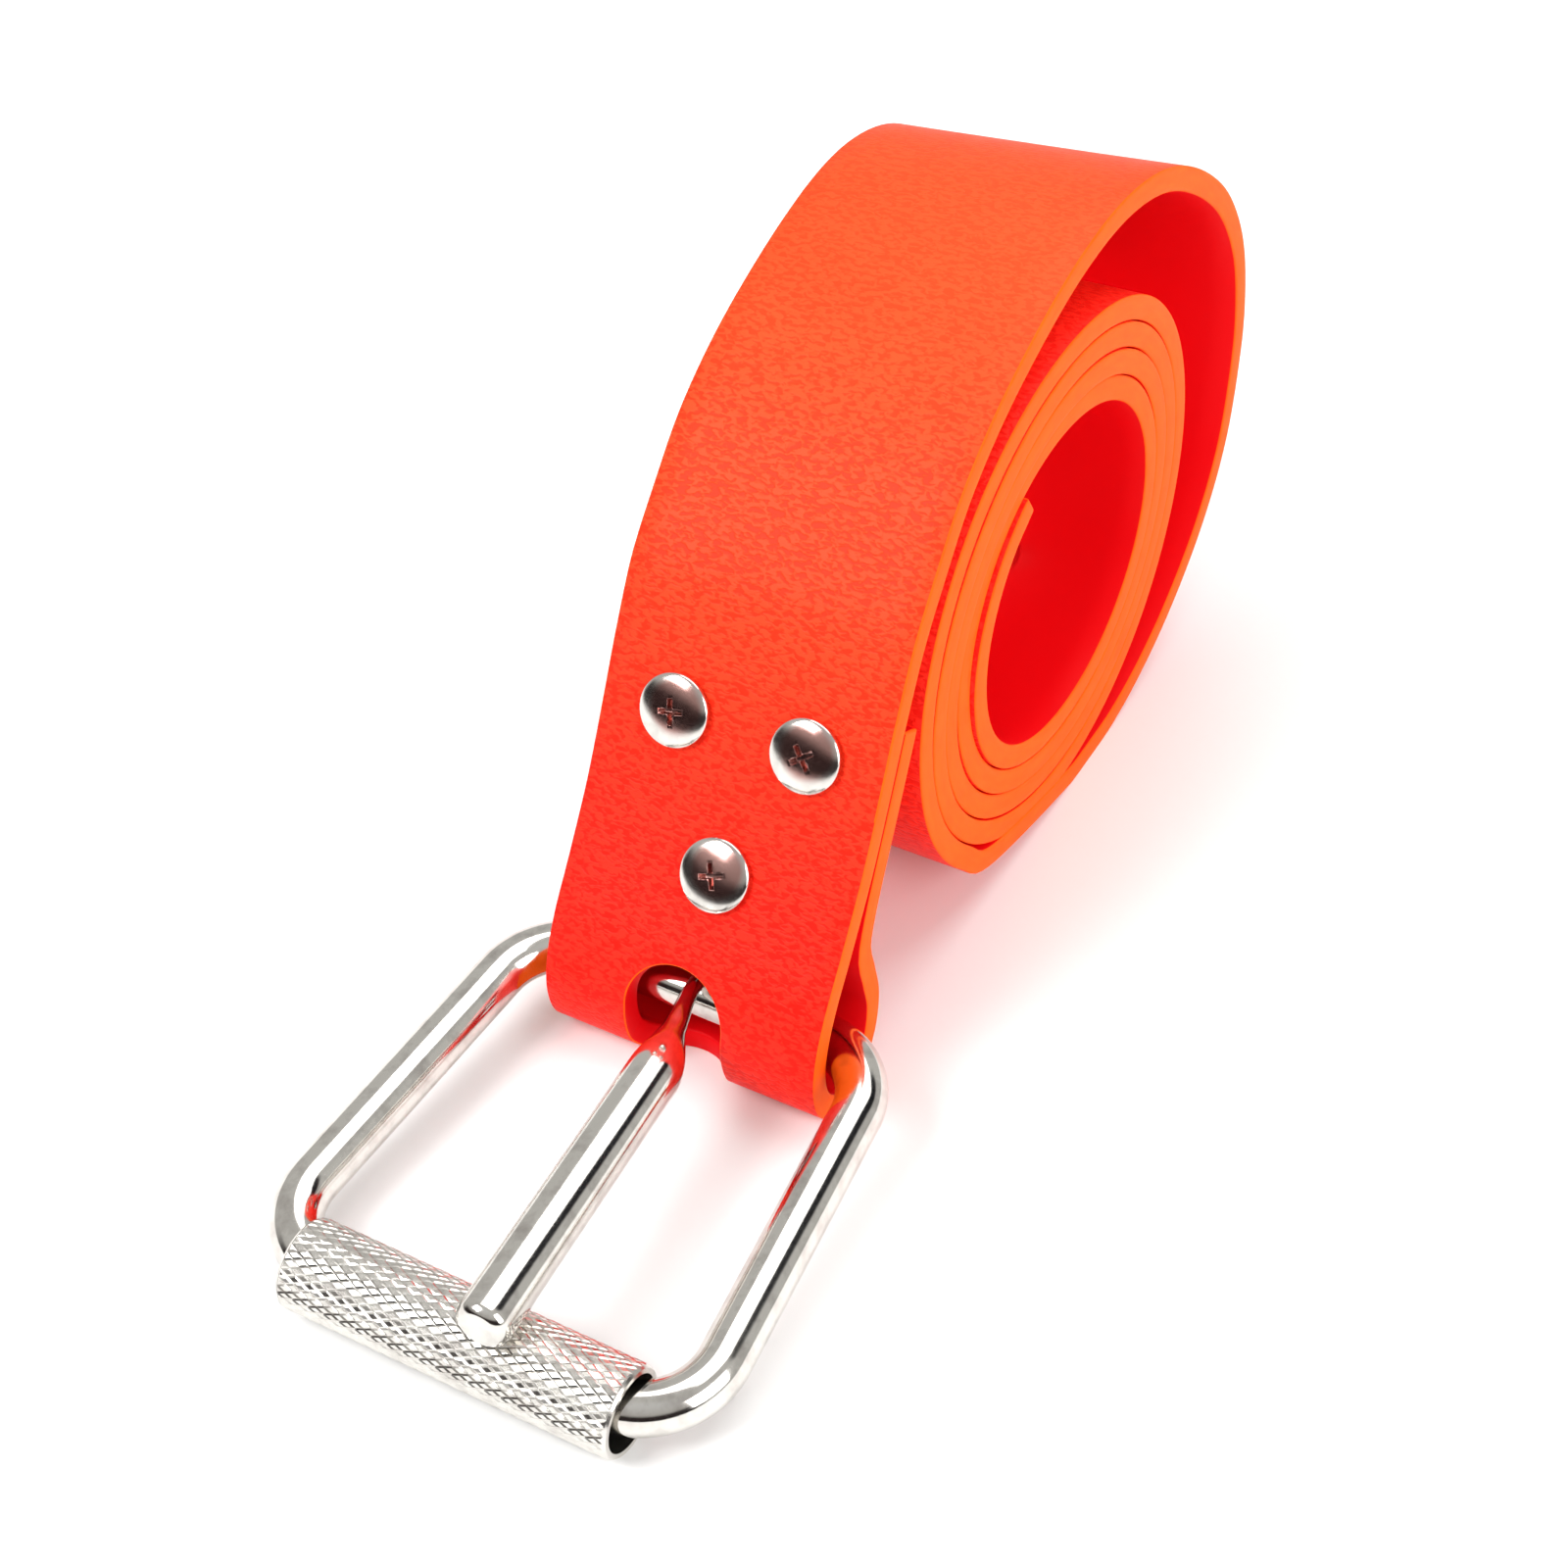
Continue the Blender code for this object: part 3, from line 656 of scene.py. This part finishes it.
def makeTongue():
    shape = tongueShape
    backY, backZ = frameShape["backBar"]
    top = Vector((0, backY, backZ + shape["hookTurn"]))
    along = (shape["shoulder"] - shape["tip"]).normalized()
    facing = along.to_track_quat("Z", "Y").to_matrix().to_4x4()
    deselectAll()
    startWidth = shape["startShare"] * shape["tipProfile"][0][1]
    bpy.ops.mesh.primitive_circle_add(vertices=shape["sides"], radius=startWidth * shape["radius"],
                                      fill_type="NGON")
    tongue = takeObject("tonguePin")
    bakePlace(tongue, Matrix.Translation(shape["tip"]) @ facing)
    editMesh("FACE", "ALL")
    steps = [(shape["tip"] + along * distance * mm, wide) for distance, wide in shape["tipProfile"]]
    steps += [(Vector((x, y, z)) * mm, wide) for x, y, z, wide in shape["neck"]]
    steps.append((top, shape["hookWire"] / shape["radius"]))
    reached, width = shape["tip"], startWidth
    for place, wide in steps:
        extrudeBy(place - reached)
        resizeAbout((wide / width,) * 3, place)
        reached, width = place, wide
    bpy.ops.mesh.spin(steps=24, angle=spinSign * math.radians(-shape["hookAngle"]),
                      center=(0, backY, backZ), axis=(1, 0, 0))
    closeAndTurnOut(0.005 * mm)
    objectMode()
    smoothShade(tongue, 30)
    tongue.data.materials.append(steelLook("polishedTongueSteel", 0.08, pits=1.2))
    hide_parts("tongue")
    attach(tongue, "tongue")
    print("tongue drawn")


# ---- binding screws with a cross recess, and their posts behind the plies

screwShape = {
    "head": 6.1 * mm, "rise": 1.9 * mm, "rim": 0.7 * mm, "shank": 1.6 * mm, "gap": 0.35 * mm, "sides": 72,
    "recess": 5.6 * mm, "recessBottom": 3.2 * mm, "blade": 1.15 * mm, "recessDepth": 1.5 * mm,
    # where the painted dark reflection sits on the dome and how far it reaches
    "softEdge": 0.22 * mm, "reflectionShadeShift": (0.7 * mm, 0, 1.3 * mm), "reflectionShadeWithin": 4.3 * mm,
    "brightBeyond": 6.1 * mm,
    "turns": {"left": 12, "right": 38, "lower": 20}}
postShape = {"radius": 2.5 * mm, "head": 5 * mm, "rise": 1.4 * mm, "soft": 0.45 * mm, "seat": 7.5 * mm}


def standOn(piece, x, point, normal, turn=0.0):
    out = Vector((0, *normal))
    facing = out.to_track_quat("Z", "Y").to_matrix().to_4x4()
    bakePlace(piece, Matrix.Translation((x, *point)) @ facing @ Matrix.Rotation(turn, 4, "Z"))


def turnedPiece(name, sides, rings):
    # starts as a disc and grows ring by ring: each ring is (radius, height)
    deselectAll()
    radius, height = rings[0]
    bpy.ops.mesh.primitive_circle_add(vertices=sides, radius=radius, location=(0, 0, height), fill_type="NGON")
    piece = takeObject(name)
    bpy.ops.object.transform_apply(location=True)
    editMesh("FACE", "ALL")
    for nextRadius, nextHeight in rings[1:]:
        extrudeBy((0, 0, nextHeight - height))
        resizeAbout((nextRadius / radius, nextRadius / radius, 1), (0, 0, nextHeight))
        radius, height = nextRadius, nextHeight
    closeAndTurnOut(0.001 * mm)
    objectMode()
    return piece


def crossCutter(topHeight):
    # two crossed blades that narrow towards the bottom of the recess
    blades = []
    for turn in (0, math.pi / 2):
        deselectAll()
        bpy.ops.mesh.primitive_cube_add(size=1, location=(0, 0, topHeight), rotation=(0, 0, turn))
        blade = takeObject("recessBlade")
        blade.scale = (screwShape["recess"], screwShape["blade"], 2 * screwShape["recessDepth"])
        bakePlace(blade)
        pickParts(blade, "vertices", lambda v: v.co.z < topHeight)
        narrow = screwShape["recessBottom"] / screwShape["recess"]
        resizeAbout((narrow, narrow, 1), (0, 0, topHeight))
        objectMode()
        blades.append(blade)
    applyModifier(blades[0], "BOOLEAN", operation="UNION", solver="EXACT", object=blades[1])
    bpy.data.objects.remove(blades[1])
    return blades[0]


def makeScrew(name, x, point, normal, depth):
    shape = screwShape
    base = strapShape["thickness"] / 2 + shape["gap"]
    dome = shape["rise"] - shape["rim"]
    rings = [(shape["shank"] - 0.3 * mm, -depth), (shape["shank"], -depth + 0.4 * mm), (shape["shank"], base),
             (shape["head"] - 0.35 * mm, base), (shape["head"], base + 0.25 * mm)]
    for degrees in range(0, 90, 9):
        a = math.radians(degrees)
        rings.append((shape["head"] * math.cos(a), base + shape["rim"] + dome * math.sin(a)))
    screw = turnedPiece("screwHead_" + name, shape["sides"], rings)
    cutter = crossCutter(base + shape["rise"])
    applyModifier(screw, "BOOLEAN", operation="DIFFERENCE", solver="EXACT", object=cutter)
    bpy.data.objects.remove(cutter)
    applyModifier(screw, "BEVEL", width=shape["softEdge"], segments=3, limit_method="ANGLE",
                  angle_limit=math.radians(45), harden_normals=False)
    standOn(screw, x, point, normal, math.radians(shape["turns"][name]))
    smoothShade(screw, 35)
    # the dome is painted darker and red-brown round its middle, a painted reflection of the dark room, and the
    # rim stays bright
    middle = Vector((x, *point)) + Vector((0, *normal)) * (base + shape["rise"]) + Vector(shape["reflectionShadeShift"])
    screw.data.materials.append(steelLook("screwSteel_" + name, 0.12, pits=1.2, darkAround=middle))
    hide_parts("screw_" + name)
    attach(screw, "belt")


def makePost(name, x, point, normal, depth):
    shape = postShape
    foot = -depth - shape["rise"]
    top = strapShape["thickness"] / 2 - 0.6 * mm
    rings = [(shape["head"] - 2.5 * shape["soft"], foot), (shape["head"] - shape["soft"], foot + 0.12 * mm),
             (shape["head"] - 0.3 * shape["soft"], foot + 0.35 * mm),
             (shape["head"], foot + shape["soft"] + 0.3 * mm),
             (shape["head"], -depth), (shape["radius"], -depth), (shape["radius"], top), (1.95 * mm, top),
             (1.95 * mm, -depth - 0.2 * mm)]
    post = turnedPiece("postBarrel_" + name, 56, rings)
    standOn(post, x, point, normal)
    smoothShade(post, 35)
    post.data.materials.append(steelLook("postSteel_" + name, 0.14, pits=1.2))
    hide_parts("post_" + name)
    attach(post, "belt")


def makeFastenings(route, upper, lower):
    for name, (x, station, backStation) in zip(("left", "right", "lower"), screwStations(route, upper, lower)):
        (point,), (normal,) = route.at([station])
        (behind,), (behindNormal,) = route.at([backStation])
        tilt = math.sin(math.acos(min(1.0, abs(float(normal @ behindNormal)))))
        depth = float(np.linalg.norm(behind - point)) + strapShape["thickness"] / 2 + screwShape["gap"]
        depth += postShape["seat"] * tilt
        makeScrew(name, x, point, normal, depth - 2 * mm)
        makePost(name, x, point, normal, depth)
    print("screws and posts seated")


# ---- camera, floor and light

cameraShape = {
    "place": Vector((183.6, -304.8, 361.3)) * mm, "azimuth": 31.93, "elevation": 43.05, "roll": -3.37,
    "lens": 67.5, "sensor": 36.0}


def placeCamera():
    azimuth, elevation, roll = (math.radians(cameraShape[k]) for k in ("azimuth", "elevation", "roll"))
    back = Vector((math.sin(azimuth) * math.cos(elevation), -math.cos(azimuth) * math.cos(elevation),
                   math.sin(elevation)))
    level = Vector((math.cos(azimuth), math.sin(azimuth), 0))
    upright = back.cross(level)
    right = math.cos(roll) * level + math.sin(roll) * upright
    up = -math.sin(roll) * level + math.cos(roll) * upright
    bpy.ops.object.camera_add(location=cameraShape["place"])
    camera = takeObject("camera")
    turn = Matrix((right, up, back)).transposed().to_4x4()
    camera.matrix_world = Matrix.Translation(cameraShape["place"]) @ turn
    camera.data.lens = cameraShape["lens"]
    camera.data.sensor_width = cameraShape["sensor"]
    camera.data.clip_start = 0.01
    bpy.context.scene.camera = camera


lightShape = {
    "key": {"place": (-0.42, -0.62, 0.82), "size": 0.5, "power": 8.5},
    "ceiling": {"place": (0.05, 0.4, 0.95), "size": 0.9, "power": 6.0},
    "right": {"place": (0.95, -0.2, 0.5), "size": 0.7, "power": 8.0}}
roomShape = {
    "strength": 0.70,
    # from straight down to straight up, towards the front: pale floor, dark wall, bright ceiling
    "frontBands": ((0.0, (1, 1, 1, 1)), (0.475, (0.8, 0.8, 0.8, 1)), (0.50, (0.02, 0.015, 0.015, 1)),
                   (0.64, (0.05, 0.035, 0.035, 1)), (0.71, (0.72, 0.70, 0.67, 1)), (1.0, (1, 1, 1, 1))),
    "back": (0.86, 0.85, 0.82, 1), "frontFrom": -0.5, "frontTo": -0.1,
    # a dark gap between the lamps draws the streak along the wire
    "gap": (0.46, 0.62, 0.63), "gapShade": (0.025, 0.025, 0.03, 1), "gapFrom": 0.24, "gapTo": 0.36}


def makeRoom():
    deselectAll()
    bpy.ops.mesh.primitive_plane_add(size=6)
    floor = takeObject("floor")
    look = Look("paleFloor")
    floor.data.materials.append(look.surface(Base_Color=(0.9, 0.9, 0.9, 1), Roughness=0.9))
    for name, spec in lightShape.items():
        bpy.ops.object.light_add(type="AREA", location=spec["place"])
        lamp = takeObject("lamp_" + name)
        lamp.data.shape = "SQUARE"
        lamp.data.size = spec["size"]
        lamp.data.energy = spec["power"]
        aim = Vector((0, 0, 0.04)) - Vector(spec["place"])
        lamp.rotation_euler = aim.to_track_quat("-Z", "Y").to_euler()
    world = bpy.data.worlds.new("studioRoom")
    world.use_nodes = True
    bpy.context.scene.world = world
    room = Look("studioRoom", world.node_tree)
    direction = room.add("TexCoord", out=0)
    up = room.add("SeparateXYZ", out=2, Vector=direction)
    towardsBack = room.add("SeparateXYZ", out=1, Vector=direction)
    front = room.add("ValToRGB", {"stops": roomShape["frontBands"]}, Fac=up * 0.5 + 0.5)
    turned = room.add("MapRange", {"interpolation_type": "SMOOTHSTEP"}, Value=towardsBack,
                      i1=roomShape["frontFrom"], i2=roomShape["frontTo"])
    shade = room.mixColour(turned, front, roomShape["back"])
    away = room.add("VectorMath", {"operation": "DISTANCE"}, out=1, i0=direction, i1=roomShape["gap"])
    outside = room.add("MapRange", {"interpolation_type": "SMOOTHSTEP"}, Value=away,
                       i1=roomShape["gapFrom"], i2=roomShape["gapTo"])
    shade = room.mixColour(outside, roomShape["gapShade"], shade)
    room.fill(world.node_tree.nodes["Background"].inputs["Color"], shade)
    world.node_tree.nodes["Background"].inputs["Strength"].default_value = roomShape["strength"]
    bpy.context.scene.view_settings.view_transform = "Standard"
    print("studio set")


placeCamera()
makeRoom()
strapRouteLine, upperStation, lowerStation = strapLine()
makeStrap(strapRouteLine, upperStation, lowerStation)
makeFrame()
makeRoller()
makeTongue()
makeFastenings(strapRouteLine, upperStation, lowerStation)
